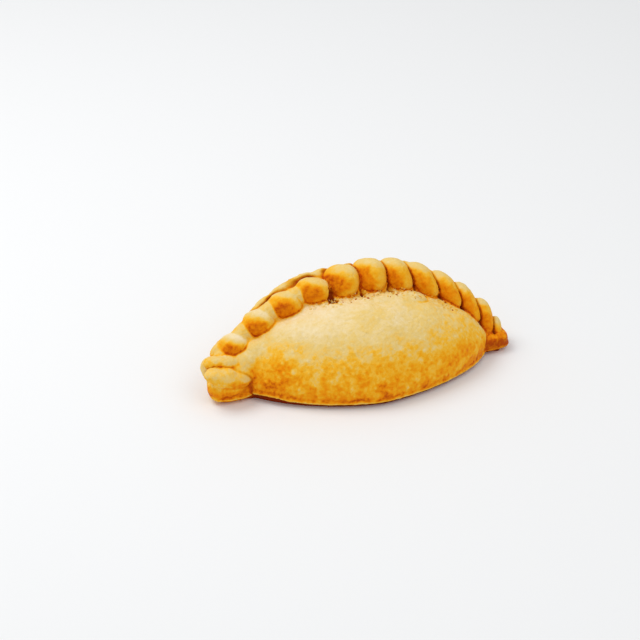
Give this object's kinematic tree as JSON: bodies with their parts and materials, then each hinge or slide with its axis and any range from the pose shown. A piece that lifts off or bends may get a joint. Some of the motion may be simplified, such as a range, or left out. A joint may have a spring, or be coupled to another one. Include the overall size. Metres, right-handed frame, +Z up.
{
  "type": "meat pasty",
  "caption": "Baked half-moon pastry parcel: a filled golden dome on a flat base, its joined edge crimped into a rope of pleats that arches over the back and ends in two pinched tails.",
  "frame": {"origin": "middle of the bounding box, on the flat base", "axes": "+X along the pasty from its left tail to its right tail, +Y from the plain belly to the crimped back, +Z up"},
  "size_m": [0.1798, 0.0672, 0.0587],
  "materials": {
    "crust": "egg-washed baked shortcrust, golden with pale and browned mottling, satin"
  },
  "bodies": {
    "root": {"pasty": "crust"}
  },
  "joints": []
}
